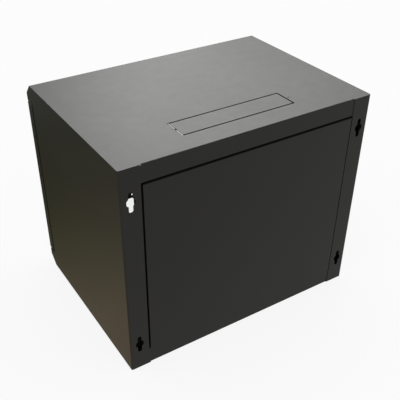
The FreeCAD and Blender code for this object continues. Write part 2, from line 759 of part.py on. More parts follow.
def cage_nuts(label):
    """Eight cage nuts: the first and third hole from the top and from the bottom, each side."""
    ends = together(f"{label}_top", cage_nut(f"{label}_first", 0), cage_nut(f"{label}_third", 2))
    column = in_pair(f"{label}_column", ends, ACROSS_Z, middle)
    return in_pair(label, column, ACROSS_X)


# The door and its hinges


def door_frame(label):
    """The door tray: face sheet with the window, four walls and a lip along their back."""
    made = new_body(label)
    outline = rectangle(-half, door_low, half, door_high)
    extrude(made, "XZ", door_face, s.door_depth, outline)
    sides = ((-half, door_face), (half, door_face))
    round_edges(made, fold, "Z", *sides)
    round_edges(made, fold, "X", (door_face, door_low), (door_face, door_high))
    inside = rectangle(-side_inside, door_low + gauge, side_inside, door_high - gauge)
    cut(made, "XZ", door_inside, s.door_depth - gauge * 2, inside)
    side_lip, end_lip = s.door_lip, s.door_end_lip
    mouth = rectangle(-half + side_lip, door_low + end_lip, half - side_lip, door_high - end_lip)
    cut(made, "XZ", door_back - gauge, gauge, mouth)
    window = rectangle(-window_half, window_low, window_half, window_high)
    cut(made, "XZ", door_face, gauge, window)
    corners = [(x, z) for x in (-window_half, window_half) for z in (window_low, window_high)]
    round_edges(made, s.window_corner, "Y", *corners)
    cut(made, "XZ", door_face, gauge, circle(lock_x, middle, s.lock_body + s.lock_play * 2))
    cut(made, "XY", door_high - gauge, gauge, circle(pivot_x, pivot_y, s.pin_diameter + s.bolt_play))
    cut(made, "XY", door_low, gauge, circle(pivot_x, pivot_y, s.rivet_neck + s.pin_play))
    clip_x = glass_half + (s.clip_foot + s.clip_gap) / 2
    studs = [circle(clip_x * side, z, s.clip_stud) for side in (-1, 1) for z in clip_heights]
    extrude(made, "XZ", door_inside, s.clip_stud_length, *studs)
    earth = circle(-half + s.door_earth_inset, door_low + s.door_earth_height, s.bolt_diameter)
    extrude(made, "XZ", door_inside, s.stud_length, earth)
    return made


def door_glass(label):
    made = new_body(label)
    pane = rectangle(-glass_half, glass_low, glass_half, glass_high)
    extrude(made, "XZ", door_inside + s.seal_gauge, s.glass_gauge, pane)
    corners = [(x, z) for x in (-glass_half, glass_half) for z in (glass_low, glass_high)]
    round_edges(made, s.window_corner, "Y", *corners)
    return made


def glass_seal(label):
    """The flat seal that beds the glass on the back of the door sheet."""
    made = new_body(label)
    trim = s.seal_reveal
    outer = rectangle(-glass_half + trim, glass_low + trim, glass_half - trim, glass_high - trim)
    inner = rectangle(-window_half - trim, window_low - trim, window_half + trim,
                      window_high + trim)
    extrude(made, "XZ", door_inside, s.seal_gauge, outer, inner)
    return made


def glass_clips(label):
    """Z shaped strips, bolted to the door sheet, that hold the glass on its seal."""
    stack = door_inside + s.seal_gauge + s.glass_gauge
    foot_end = -glass_half - s.clip_foot
    riser = -glass_half - s.clip_gap
    tip = -glass_half + s.clip_reach
    thick = s.clip_gauge
    strip = polygon(
        (foot_end, door_inside), (riser, door_inside), (riser, stack), (tip, stack),
        (tip, stack + thick), (riser - thick, stack + thick),
        (riser - thick, door_inside + thick), (foot_end, door_inside + thick),
    )
    stud_x = -glass_half - (s.clip_foot + s.clip_gap) / 2
    made = []
    for number, z in enumerate(clip_heights):
        clip = new_body(f"{label}_{number}")
        extrude(clip, "XY", z - s.clip_width / 2, s.clip_width, strip)
        cut(clip, "XZ", door_inside, thick, circle(stud_x, z, s.clip_stud + s.bolt_play))
        made.append(clip)
    return in_pair(label, together(f"{label}_left", *made), ACROSS_X)


def clip_nuts(label):
    stud_x = -glass_half - (s.clip_foot + s.clip_gap) / 2
    made = [
        nut(f"{label}_{number}", "XZ", door_inside + s.clip_gauge, s.clip_nut_height, stud_x,
            z, s.clip_nut_flats, s.clip_stud + s.pin_play)
        for number, z in enumerate(clip_heights)
    ]
    return in_pair(label, together(f"{label}_left", *made), ACROSS_X)


def door_buffers(label):
    """Rubber buffers on the door's back that land on the front flanges."""
    made = new_body(f"{label}_one")
    spot = circle(-half + s.buffer_inset, door_high - s.buffer_end, s.buffer_diameter)
    extrude(made, "XZ", door_back, s.door_gap - s.buffer_play, spot)
    column = in_pair(f"{label}_column", made, ACROSS_Z, middle)
    return in_pair(label, column, ACROSS_X)


def upper_bush(label):
    """The plain bush of the upper hinge, its flange under the nose."""
    made = new_body(label)
    bore = s.pin_diameter + s.pin_play
    flange = (circle(pivot_x, pivot_y, s.bush_flange), circle(pivot_x, pivot_y, bore))
    extrude(made, "XY", nose_under - s.bush_flange_height, s.bush_flange_height, *flange)
    barrel = (circle(pivot_x, pivot_y, s.bush_diameter), circle(pivot_x, pivot_y, bore))
    extrude(made, "XY", nose_under, gauge + s.bush_barrel, *barrel)
    return made


wall_under = door_high - gauge
collar_under = wall_under - s.collar_height
bracket_top = collar_under - s.spring_length


def pull_pin(label):
    """The upper hinge pin: pin, collar and rod with a cross handle, pulled down to free the door."""
    made = new_body(label)
    top = nose_under + gauge + s.pin_entry
    extrude(made, "XY", wall_under, top - wall_under, circle(pivot_x, pivot_y, s.pin_diameter))
    extrude(made, "XY", collar_under, s.collar_height, circle(pivot_x, pivot_y, s.collar_diameter))
    tail = bracket_top - s.bracket_gauge - s.pin_tail
    extrude(made, "XY", tail, collar_under - tail, circle(pivot_x, pivot_y, s.pin_rod))
    extrude(made, "YZ", pivot_x, s.pin_handle, circle(pivot_y, tail, s.pin_rod))
    return made


def pull_spring(label):
    """The open coil between the bracket and the pull pin's collar, in short straight runs."""
    wire = s.spring_wire.value
    radius = s.spring_coil.value / 2
    runs = round(s.spring_turns.value) * 12
    rise = (s.spring_length.value - wire * 1.2) / runs
    turn = math.radians(30)
    points = [
        Vector(radius * math.cos(turn * i), radius * math.sin(turn * i), wire * 0.6 + rise * i)
        for i in range(runs + 1)
    ]
    along = (points[1] - points[0]).normalize()
    outward = (ACROSS_X - along * along.x).normalize()
    upward = along.cross(outward)
    angles = [math.radians(60) * i for i in range(7)]
    section = Part.makePolygon([
        points[0] + outward * (wire / 2 * math.cos(a)) + upward * (wire / 2 * math.sin(a))
        for a in angles
    ])
    made = doc.addObject("Part::Feature", label)
    made.Label = label
    made.Shape = Part.makePolygon(points).makePipeShell([section], True, False, 1)
    made.Placement = Placement(Vector(pivot_x.value, pivot_y.value, bracket_top.value), Rotation())
    return made


def pin_bracket(label):
    """The angle on the door's side wall that guides the pull pin and carries its spring."""
    made = new_body(label)
    wall = -side_inside
    near, far = pivot_y - s.bracket_width / 2, pivot_y + s.bracket_width / 2
    low = bracket_top - s.bracket_gauge
    plate = rectangle(wall, near, wall + s.bracket_gauge, far)
    extrude(made, "XY", low, s.bracket_height, plate)
    guide = circle(pivot_x, pivot_y, s.pin_rod + s.bolt_play / 2)
    shelf = rectangle(wall, near, pivot_x + s.pivot_inset, far)
    extrude(made, "XY", low, s.bracket_gauge, shelf, guide)
    return made


def lower_pin(label):
    """The lower hinge pin, riveted to the door, with a shoulder over the lower bush."""
    made = new_body(label)
    foot = s.nose_height - gauge - s.pin_entry
    rest = s.nose_height + s.bush_flange_height + s.shoulder_play
    extrude(made, "XY", foot, rest - foot, circle(pivot_x, pivot_y, s.pin_diameter))
    extrude(made, "XY", rest, door_low - rest, circle(pivot_x, pivot_y, s.shoulder_diameter))
    extrude(made, "XY", door_low, gauge, circle(pivot_x, pivot_y, s.rivet_neck))
    extrude(made, "XY", door_low + gauge, gauge, circle(pivot_x, pivot_y, s.rivet_head))
    return made


# The cam lock

lock_front = door_face - s.lock_head
lock_rear = door_face + s.lock_length
cam_front = side_front + gauge + s.cam_clearance


def lock_housing(label):
    made = new_body(label)
    bore = circle(lock_x, middle, s.lock_plug + s.lock_play)
    extrude(made, "XZ", lock_front, s.lock_head, circle(lock_x, middle, s.lock_head_diameter), bore)
    extrude(made, "XZ", door_face, s.lock_length, circle(lock_x, middle, s.lock_body), bore)
    base = made.Tip
    rims = [
        f"Edge{n}"
        for n, edge in enumerate(base.Shape.Edges, 1)
        if edge.Curve.TypeId == "Part::GeomCircle"
        and abs(edge.CenterOfMass.y - lock_front.value) < 1e-4
        and edge.Curve.Radius > s.lock_body.value / 2
    ]
    rim = made.newObject("PartDesign::Chamfer", f"{label}_rim")
    rim.Base = (base, rims)
    rim.setExpression("Size", (s.lock_head / 4).words)
    doc.recompute()
    return made


def lock_plug(label):
    """The plug that the key turns, with its slot in front and a square tang behind."""
    made = new_body(label)
    extrude(made, "XZ", lock_front, lock_rear - lock_front, circle(lock_x, middle, s.lock_plug))
    reach = s.tang / 2
    square = rectangle(lock_x - reach, middle - reach, lock_x + reach, middle + reach)
    extrude(made, "XZ", lock_rear, cam_front + s.cam_gauge - lock_rear, square)
    across, along = s.key_slot / 2, s.key_slot_length / 2
    key = rectangle(lock_x - across, middle - along, lock_x + across, middle + along)
    cut(made, "XZ", lock_front, s.key_slot_depth, key)
    bore = circle(lock_x, middle, s.cam_screw_shank + s.pin_play)
    end = cam_front + s.cam_gauge
    cut(made, "XZ", end - s.tang, s.tang, bore)
    return made


def lock_cam(label):
    """The cam, hanging down when unlocked, that turns behind the right front flange."""
    made = new_body(label)
    across = s.cam_width / 2
    length = s.cam_length + across
    blade = slot(lock_x, middle - s.cam_length + length / 2, length, s.cam_width, True)
    reach = s.tang / 2 + s.lock_play
    square = rectangle(lock_x - reach, middle - reach, lock_x + reach, middle + reach)
    extrude(made, "XZ", cam_front, s.cam_gauge, blade, square)
    return made


def cam_screw(label):
    made = new_body(label)
    seat = cam_front + s.cam_gauge
    head = hexagon(lock_x, middle, s.cam_screw_head)
    extrude(made, "XZ", seat, s.cam_screw_height, head)
    extrude(made, "XZ", seat - s.cam_screw_height * 2, s.cam_screw_height * 2,
            circle(lock_x, middle, s.cam_screw_shank))
    return made


def build():
    """Makes every piece and returns them by name."""
    left = side_panel("left_side_panel")
    front_left = mounting_rail("front_rail_left")
    upper_left = depth_brace("upper_brace_left")
    lower_left = mirrored("lower_brace_left", upper_left, ACROSS_Z, middle)
    rear_left = mirrored("rear_rail_left", front_left, ACROSS_Y, rail_middle)
    upper = upper_bush("upper_bush")
    pieces = [
        panel("top_panel", s.top_rail_height, -1, False),
        turned_over(panel("bottom_panel", s.bottom_rail_height, 1, True)),
        left,
        mirrored("right_side_panel", left, ACROSS_X),
        knockout("top_knockout"),
        turned_over(knockout("bottom_knockout")),
        rear_plate("rear_plate"),
        upper_left,
        mirrored("upper_brace_right", upper_left, ACROSS_X),
        lower_left,
        mirrored("lower_brace_right", lower_left, ACROSS_X),
        front_left,
        mirrored("front_rail_right", front_left, ACROSS_X),
        rear_left,
        mirrored("rear_rail_right", rear_left, ACROSS_X),
        rail_bolts("rail_bolts"),
        rail_nuts("rail_nuts"),
        cage_nuts("cage_nuts"),
        nut("earth_nut", "XY", gauge, s.nut_height, s.earth_spread, rear - s.earth_offset,
            s.nut_flats, s.bolt_diameter + s.pin_play),
        upper,
        mirrored("lower_bush", upper, ACROSS_Z, middle),
        door_frame("door_frame"),
        door_glass("door_glass"),
        glass_seal("glass_seal"),
        glass_clips("glass_clips"),
        clip_nuts("clip_nuts"),
        door_buffers("door_buffers"),
        nut("door_earth_nut", "XZ", door_inside, s.nut_height, -half + s.door_earth_inset,
            door_low + s.door_earth_height, s.nut_flats, s.bolt_diameter + s.pin_play),
        pull_pin("pull_pin"),
        pull_spring("pull_spring"),
        pin_bracket("pin_bracket"),
        lower_pin("lower_pin"),
        lock_housing("lock_housing"),
        nut("lock_nut", "XZ", door_inside, s.lock_nut_height, lock_x, middle, s.lock_nut_flats,
            s.lock_body + s.lock_play),
        lock_plug("lock_plug"),
        lock_cam("lock_cam"),
        cam_screw("cam_screw"),
    ]
    return {piece.Label: piece for piece in pieces}


def check(pieces):
    """Stops if anything in the document failed or a piece isn't sound."""
    doc.recompute()
    for thing in doc.Objects:
        if "Invalid" in thing.State or "Error" in thing.State:
            raise RuntimeError(f"{thing.Name} failed: {thing.State}")
    for name, piece in pieces.items():
        if piece.Shape.isNull() or not piece.Shape.isValid() or not piece.Shape.Solids:
            raise RuntimeError(f"{name} has no sound shape")


def export(pieces):
    os.makedirs("parts", exist_ok=True)
    for name, piece in pieces.items():
        piece.Shape.exportStep(f"parts/{name}.step")
        print(f"{name}: {len(piece.Shape.Solids)} solid(s)")


pieces = build()
check(pieces)
export(pieces)
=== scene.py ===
# %% [markdown]
# # A wall mount network cabinet, seen from behind
# The cabinet's solids arrive from the imported model, already in metres and in their final places.
# Blender's work here is the finish: powder coat, zinc plate, glass and rubber, and a spring that
# a solid modeller leaves plain. The frame is loaded first.

# %% Load the cabinet
import json
import math

import bpy
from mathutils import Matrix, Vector


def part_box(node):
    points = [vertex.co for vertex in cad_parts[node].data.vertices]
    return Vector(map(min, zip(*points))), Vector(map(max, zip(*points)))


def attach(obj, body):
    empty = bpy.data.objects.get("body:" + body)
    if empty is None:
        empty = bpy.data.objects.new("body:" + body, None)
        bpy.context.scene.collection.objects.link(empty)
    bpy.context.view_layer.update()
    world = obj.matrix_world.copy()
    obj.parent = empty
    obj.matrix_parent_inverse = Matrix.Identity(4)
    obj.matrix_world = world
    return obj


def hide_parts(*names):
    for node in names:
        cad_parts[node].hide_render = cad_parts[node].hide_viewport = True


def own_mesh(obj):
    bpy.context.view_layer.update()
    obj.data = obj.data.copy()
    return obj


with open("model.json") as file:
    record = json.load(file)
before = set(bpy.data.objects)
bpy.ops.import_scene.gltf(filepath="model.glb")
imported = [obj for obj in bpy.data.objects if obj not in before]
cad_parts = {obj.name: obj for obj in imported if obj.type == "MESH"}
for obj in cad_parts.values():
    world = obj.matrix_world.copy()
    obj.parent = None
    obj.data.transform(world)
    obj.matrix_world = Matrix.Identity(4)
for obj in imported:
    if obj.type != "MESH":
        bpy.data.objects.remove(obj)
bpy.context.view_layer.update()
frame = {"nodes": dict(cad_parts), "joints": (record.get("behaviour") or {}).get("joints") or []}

nodes = frame["nodes"]

# %% [markdown]
# ## The camera
# A product picture of a box is usually taken from a little above one corner with a short telephoto
# lens, which keeps the verticals close to upright. The cabinet's back and its right side face this
# camera, which stands behind and above it. Turning the camera would also bring the cabinet to
# the middle of the view, but it would change how the verticals converge. A small lens shift
# leaves them as they are.

# %% Place the camera
camera_data = bpy.data.cameras.new("camera")
camera_data.sensor_width = 36.0
camera_data.lens = 58.31
camera_data.shift_x = 0.0238
camera_data.shift_y = 0.0468
camera_data.clip_start = 0.05
camera = bpy.data.objects.new("camera", camera_data)
bpy.context.scene.collection.objects.link(camera)
camera.location = (0.699, 1.1087, 1.077)
turn, tilt = math.radians(148.07), math.radians(35.19)
back = Vector((math.sin(turn) * math.cos(tilt), -math.cos(turn) * math.cos(tilt), math.sin(tilt)))
camera.rotation_euler = (-back).to_track_quat("-Z", "Y").to_euler()
bpy.context.scene.camera = camera
bpy.context.scene.view_settings.view_transform = "Standard"
print("camera at", tuple(camera.location), "lens", camera_data.lens)

# %% [markdown]
# ## Small helpers for materials
# Every finish below is a node tree on the Principled shader. It could be built by hand in the
# editor, but a script gives the same tree each time. A value that is the same all over a surface
# is set on the shader's own socket, and only what varies is linked. The first helper makes the
# material with its plain values. The others add one node, or a few, so that each finish reads as
# a short list of steps. The owner is the material or the world that the nodes belong to.

# %% A new material
def start_material(name, **plain):
    """A new material whose Principled shader has these plain values on its own sockets."""
    material = bpy.data.materials.new(name)
    material.use_nodes = True
    shader = material.node_tree.nodes["Principled BSDF"]
    for socket, value in plain.items():
        shader.inputs[socket.replace("_", " ")].default_value = value
    return material, shader


print("made the helper start_material")


# %% Nodes and links
def feed(owner, node, links):
    """Links inputs of a node, each by its name or number, to outputs of others."""
    for name, output in links.items():
        owner.node_tree.links.new(output, node.inputs[name])


def add_node(owner, kind, links=None, **values):
    """Adds a node, sets its properties or its input values, and links inputs to outputs."""
    node = owner.node_tree.nodes.new(kind)
    for name, value in values.items():
        if hasattr(node, name):
            setattr(node, name, value)
        else:
            node.inputs[name.replace("_", " ")].default_value = value
    feed(owner, node, links or {})
    return node


print("made the helpers feed and add_node")


# %% Coordinates
def object_coordinates(owner):
    """Places on the piece itself, in metres, which stay with it at every pose."""
    return add_node(owner, "ShaderNodeTexCoord").outputs["Object"]


def split(owner, vector):
    """The X, Y and Z of a vector."""
    node = add_node(owner, "ShaderNodeSeparateXYZ", {"Vector": vector})
    return node.outputs["X"], node.outputs["Y"], node.outputs["Z"]


print("made the helpers object_coordinates and split")


# %% Sums
def calculate(owner, operation, *values):
    """The result of a Math node, whose values are numbers or outputs of other nodes."""
    node = add_node(owner, "ShaderNodeMath", operation=operation)
    for place, value in enumerate(values):
        if isinstance(value, float):
            node.inputs[place].default_value = value
        else:
            feed(owner, node, {place: value})
    return node.outputs[0]


def combine(owner, operation, first, *others):
    """The first output, taken together with each of the others in turn."""
    for other in others:
        first = calculate(owner, operation, first, other)
    return first


print("made the helpers calculate and combine")


# %% Ramps and mixes
def add_ramp(owner, factor, *stops):
    """A colour ramp: each stop is a place and a grey level or a colour."""
    node = add_node(owner, "ShaderNodeValToRGB", {"Fac": factor})
    elements = node.color_ramp.elements
    while len(elements) < len(stops):
        elements.new(0.5)
    for element, (place, colour) in zip(elements, stops):
        element.position = place
        if isinstance(colour, float):
            colour = (colour, colour, colour)
        element.color = (*colour, 1.0)
    return node.outputs["Color"]


def blend_colours(owner, factor, first, second):
    """The first colour turns into the second as the factor goes from 0 to 1."""
    node = add_node(owner, "ShaderNodeMix", {"Factor": factor, "A": first}, data_type="RGBA")
    node.inputs["B"].default_value = (*second, 1.0)
    return node.outputs["Result"]


print("made the helpers add_ramp and blend_colours")

# %% [markdown]
# ## Black powder coat
# Powder is sprayed dry and baked, so it flows into an even orange peel with no brush marks. Up
# close it has grains about half a millimetre wide, and a slower ripple of a few millimetres. It
# could be a painted image, but an image needs each sheet unfolded and shows seams at the folds.
# Noise in object coordinates needs neither, so two noise textures drive a bump.

# %% Orange peel
def orange_peel(material, place, grain):
    """A bump of fine grains on a slower ripple, both sized in cells per metre."""
    grains = add_node(material, "ShaderNodeTexNoise", {"Vector": place}, Scale=1800.0, Detail=2.0)
    ripple = add_node(material, "ShaderNodeTexNoise", {"Vector": place}, Scale=240.0, Detail=1.0)
    fine = add_node(material, "ShaderNodeBump", {"Height": grains.outputs["Fac"]},
                    Strength=grain, Distance=0.00006)
    slow = add_node(material, "ShaderNodeBump",
                    {"Height": ripple.outputs["Fac"], "Normal": fine.outputs["Normal"]},
                    Strength=0.25, Distance=0.00015)
    return slow.outputs["Normal"]


print("made the helper orange_peel")

# %% [markdown]
# Faces that look up gather a thin film of dust in soft patches. It could be a layer of its own,
# but it has no thickness to speak of, so it is a pale tint that the height of the normal masks.

# %% Dust on faces that look up
def dust_film(material, place, amount):
    """0 on walls, and up to this amount in soft patches on faces that look up."""
    normal = add_node(material, "ShaderNodeNewGeometry").outputs["Normal"]
    height = split(material, normal)[2]
    up = add_ramp(material, height, (0.6, 0.0), (0.95, 1.0))
    patches = add_node(material, "ShaderNodeTexNoise", {"Vector": place}, Scale=38.0, Detail=6.0)
    film = add_ramp(material, patches.outputs["Fac"], (0.35, 0.25 * amount), (0.7, amount))
    return calculate(material, "MULTIPLY", up, film)


print("made the helper dust_film")

# %% [markdown]
# A narrow gap looks darker and wider than it is, because shade falls into it and onto its lips.
# So a strip of a millimetre or two beside each gap is painted near black and fully rough, so that
# it mirrors nothing: this is painted shade. Such strips run round the knock-outs, beside the rear
# plate's gaps, and where the door meets the side panels. They could be painted on each sheet as
# well, but the gaps are straight. So a strip is a box in object coordinates, set out from the
# edges of the pieces beside it, and one mask holds them all.

# %% Painted shade round the knock-outs
def strip(low_corner, high_corner):
    """A box between two corners, as its middle and its half size."""
    pairs = list(zip(low_corner, high_corner))
    return [(low + high) / 2 for low, high in pairs], [(high - low) / 2 for low, high in pairs]


strip_width = 0.0038
past_cut = 0.0011                        # from the cuts' outline to the strips' outer edge
below, above = -0.05, 0.55               # takes in the top panel and the bottom panel
knockout_low, knockout_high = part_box("top_knockout")
cut_end = knockout_high.x + past_cut
cut_front, cut_rear = knockout_low.y - past_cut, knockout_high.y + past_cut
shade_strips = [strip((-cut_end, cut_front, below), (cut_end, cut_front + strip_width, above)),
              strip((-cut_end, cut_rear - strip_width, below), (cut_end, cut_rear, above)),
              strip((cut_end - strip_width, cut_front, below), (cut_end, cut_rear, above))]
print("strips to", round(cut_end, 5), "and from", round(cut_front, 5), "to", round(cut_rear, 5))

# %% Painted shade beside the rear plate
rear_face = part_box("rear_plate")[1].y
flange_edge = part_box("right_side_panel")[0].x
fold_edge, lower_fold_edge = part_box("top_panel")[0].z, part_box("bottom_panel")[1].z
strip_depth = 0.003                      # to either side of the rear face
inner, outer = rear_face - strip_depth, rear_face + strip_depth
fold_end = flange_edge - 0.0013
onto_fold, under_fold = 0.0033, 0.0019   # up the top panel's fold, and into the gap under it
onto_flange, off_flange = 0.001, 0.0014  # out on the side panel's flange, and into the gap
onto_lower_fold = 0.004
shade_strips += [strip((-fold_end, inner, fold_edge - under_fold),
                     (fold_end, outer, fold_edge + onto_fold)),
               strip((flange_edge - off_flange, inner, lower_fold_edge - onto_lower_fold),
                     (flange_edge + onto_flange, outer, fold_edge))]
print("flange edge", round(flange_edge, 5), "fold edges", round(lower_fold_edge, 5),
      round(fold_edge, 5))

# %% Painted shade beside the door
door_gap, side_depth = 0.003, 0.0015
onto_sheet = 0.0019                      # past the gap's edge, on the door and on the panel
side_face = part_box("right_side_panel")[1].x
door_low, door_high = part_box("door_frame")
shade_strips.append(strip(
    (side_face - side_depth, door_high.y - onto_sheet, door_low.z),
    (side_face + side_depth, door_high.y + door_gap + onto_sheet, door_high.z)))
for middle, half in shade_strips:
    print("strip at", [round(v, 5) for v in middle], "reaching", [round(v, 5) for v in half])


# %% The strips of painted shade as a mask
def painted_shade_mask(material, place):
    """1 inside any of the strips, on either side of the cabinet's middle, and 0 elsewhere."""
    x, y, z = split(material, place)
    axes = (calculate(material, "ABSOLUTE", x), y, z)
    strips = []
    for strip_middle, strip_half in shade_strips:
        near = [calculate(material, "COMPARE", axis, middle, half)
                for axis, middle, half in zip(axes, strip_middle, strip_half)]
        strips.append(combine(material, "MULTIPLY", *near))
    return combine(material, "MAXIMUM", *strips)


print("made the helper painted_shade_mask")

# %% [markdown]
# The coat puts these together. A third noise, much larger, varies its tone and its roughness a
# little, as an uneven thickness of coat does. The colour is a black that leans slightly brown.

# %% Powder coat
dust_colour = (0.09, 0.085, 0.075)
# Painted shade for the strips beside the gaps: near black and fully rough.
painted_shade_colour = (0.002, 0.002, 0.002)
painted_shade_roughness = (1.0, 1.0, 1.0)


def powder_coat(name, colour, roughness, specular, grain=0.35, dust=0.12):
    """A coat with orange peel, clouds of tone and gloss, dust on top, and painted shade at gaps."""
    material, shader = start_material(name, IOR=1.5, Specular_IOR_Level=specular)
    place = object_coordinates(material)
    clouds = add_node(material, "ShaderNodeTexNoise", {"Vector": place}, Scale=7.0, Detail=4.0)
    tone = add_ramp(material, clouds.outputs["Fac"],
                    (0.3, [c * 0.94 for c in colour]), (0.7, [c * 1.05 for c in colour]))
    gloss = add_ramp(material, clouds.outputs["Fac"],
                     (0.3, roughness - 0.012), (0.7, roughness + 0.012))
    dusty = blend_colours(material, dust_film(material, place, dust), tone, dust_colour)
    # Painted shade beside the gaps: the strips turn near black and fully rough.
    gap_shade = painted_shade_mask(material, place)
    feed(material, shader, {
        "Base Color": blend_colours(material, gap_shade, dusty, painted_shade_colour),
        "Roughness": blend_colours(material, gap_shade, gloss, painted_shade_roughness),
        "Normal": orange_peel(material, place, grain)})
    return material


black_coat = powder_coat("full_black_coat", (0.015, 0.0147, 0.013), roughness=0.5, specular=0.15)
print("made", black_coat.name)

# %% [markdown]
# Little light reaches into slots, behind folds and into the inside of the box, so the faces there
# get a darker, duller copy of the coat. This is painted shade, and it makes the narrow gaps look
# black. One material with another mask could do this, but inside and outside are whole faces, so
# a material of its own is simpler.

# %% The darker coat of painted shade inside
# A darker, duller copy of the coat: painted shade for the faces inside the box.
shaded_inner_coat = powder_coat("inner_shade_coat", (0.008, 0.0078, 0.0072), roughness=0.65, specular=0.1,
                         grain=0.5, dust=0.05)
print("made", shaded_inner_coat.name)

# %% [markdown]
# ## Zinc plate, spring steel and chrome
# Bought-in fasteners are barrel plated: bright, slightly blue, with fine tumbling scratches and
# duller patches. The lock is nickel and chrome over die cast zinc, which is smoother. Each could
# have a node tree of its own, but they differ only in colour, roughness and depth of scratches,
# so one recipe makes all three.

# %% Plated metals
def plated(name, colour, roughness, scratch):
    """A metal with fine scratches, and with patches that are darker and duller."""
    material, shader = start_material(name, Metallic=1.0)
    place = object_coordinates(material)
    patches = add_node(material, "ShaderNodeTexNoise", {"Vector": place}, Scale=220.0, Detail=3.0)
    marks = add_node(material, "ShaderNodeTexNoise", {"Vector": place}, Scale=2600.0, Detail=4.0,
                     Distortion=1.5)
    tone = add_ramp(material, patches.outputs["Fac"],
                    (0.35, [c * 0.86 for c in colour]), (0.65, colour))
    gloss = add_ramp(material, patches.outputs["Fac"], (0.35, roughness + 0.1), (0.7, roughness))
    bump = add_node(material, "ShaderNodeBump", {"Height": marks.outputs["Fac"]},
                    Strength=scratch, Distance=0.00003)
    feed(material, shader,
         {"Base Color": tone, "Roughness": gloss, "Normal": bump.outputs["Normal"]})
    return material


zinc = plated("bright_zinc", (0.66, 0.67, 0.69), roughness=0.26, scratch=0.35)
spring_steel = plated("oiled_spring_steel", (0.33, 0.32, 0.31), roughness=0.34, scratch=0.25)
chrome = plated("polished_chrome", (0.78, 0.78, 0.79), roughness=0.1, scratch=0.12)
print("made", zinc.name, spring_steel.name, chrome.name)

# %% [markdown]
# ## Glass
# The pane is 4 mm float glass, toughened. It is nearly clear, and only its thickness tints it
# green, so the shader transmits almost everything and a faint smear varies its tint. Toughened
# glass cools on rollers, which leaves its surface very slightly wavy, so a slow noise drives a
# shallow bump. Its surface is perfectly smooth between the waves. A plain transparent shader
# would be simpler, but it mirrors nothing.

# %% Clear glass
def clear_glass():
    """Glass with no roughness, a faint green tint and slow waves."""
    material, shader = start_material("clear_toughened_glass", IOR=1.5, Transmission_Weight=1.0,
                                      Roughness=0.0)
    place = object_coordinates(material)
    smears = add_node(material, "ShaderNodeTexNoise", {"Vector": place}, Scale=9.0, Detail=3.0)
    tint = add_ramp(material, smears.outputs["Fac"],
                    (0.4, (0.975, 0.99, 0.982)), (0.75, (0.96, 0.975, 0.967)))
    waves = add_node(material, "ShaderNodeTexNoise", {"Vector": place}, Scale=12.0, Detail=0.0)
    bump = add_node(material, "ShaderNodeBump", {"Height": waves.outputs["Fac"]},
                    Strength=0.2, Distance=0.0005)
    feed(material, shader, {"Base Color": tint, "Normal": bump.outputs["Normal"]})
    return material


glass = clear_glass()
print("made", glass.name)

# %% [markdown]
# ## Rubber and nylon
# The seal and the buffers are rubber, and the hinge bushes are nylon. Both are matt with a fine
# grain from the tool that shaped them. A bump alone could show it, but on the real pieces the
# grain shows in tone and gloss too, so one noise varies all three together.

# %% Moulded pieces
def moulded(name, colour, roughness, scale):
    """A matt surface whose grain shows in its tone, its gloss and a shallow bump."""
    material, shader = start_material(name)
    place = object_coordinates(material)
    grain = add_node(material, "ShaderNodeTexNoise", {"Vector": place}, Scale=scale, Detail=3.0)
    tone = add_ramp(material, grain.outputs["Fac"],
                    (0.35, [c * 0.8 for c in colour]), (0.65, [c * 1.2 for c in colour]))
    gloss = add_ramp(material, grain.outputs["Fac"],
                     (0.3, roughness - 0.08), (0.7, roughness + 0.05))
    bump = add_node(material, "ShaderNodeBump", {"Height": grain.outputs["Fac"]},
                    Strength=0.3, Distance=0.00005)
    feed(material, shader,
         {"Base Color": tone, "Roughness": gloss, "Normal": bump.outputs["Normal"]})
    return material


rubber = moulded("matt_rubber", (0.018, 0.018, 0.018), roughness=0.8, scale=1200.0)
nylon = moulded("dark_nylon", (0.03, 0.03, 0.03), roughness=0.5, scale=900.0)
print("made", rubber.name, nylon.name)

# %% [markdown]
# ## Give each solid its finish
# The sheets and rails are coated, the braces inside get the darker coat of painted shade, and
# the fasteners are plated. The solids keep their shapes, and only their material slots change.
# Flat sheet reads best with flat shading, because a fold is narrow and already has its own facets.

# %% Which finish goes where
outside = ("top_panel", "bottom_panel", "left_side_panel", "right_side_panel", "top_knockout",
           "bottom_knockout", "rear_plate")
coated = ("front_rail_left", "front_rail_right", "rear_rail_left", "rear_rail_right", "door_frame")
hidden = ("upper_brace_left", "upper_brace_right", "lower_brace_left", "lower_brace_right",
          "pin_bracket")
plated_pieces = ("rail_bolts", "rail_nuts", "cage_nuts", "earth_nut", "glass_clips", "clip_nuts",
                 "door_earth_nut", "pull_pin", "lower_pin", "lock_cam", "cam_screw")
finishes = {name: black_coat for name in outside + coated}
finishes.update({name: shaded_inner_coat for name in hidden})
finishes.update({name: zinc for name in plated_pieces})
finishes.update({name: chrome for name in ("lock_housing", "lock_plug", "lock_nut")})
finishes.update({"pull_spring": spring_steel, "door_glass": glass, "glass_seal": rubber,
                 "door_buffers": rubber, "upper_bush": nylon, "lower_bush": nylon})
print("finishes for", len(finishes), "of", len(nodes), "nodes")

# %% Assign the finishes
for name, finish in finishes.items():
    slots = nodes[name].data.materials
    slots.clear()
    slots.append(finish)
print("nodes without a finish:", sorted(set(nodes) - set(finishes)))

# %% [markdown]
# Each sheet of the shell gets the darker coat of painted shade as its second material. A face
# keeps the full coat if it looks outwards and lies within a sheet's thickness of the cabinet's
# skin. All others, such as the inner walls, the sides of the slots and the flange behind the
# plate's gap, are inside faces and take the painted shade. They could be picked by hand, but
# there are nearly three thousand, so a test finds them.

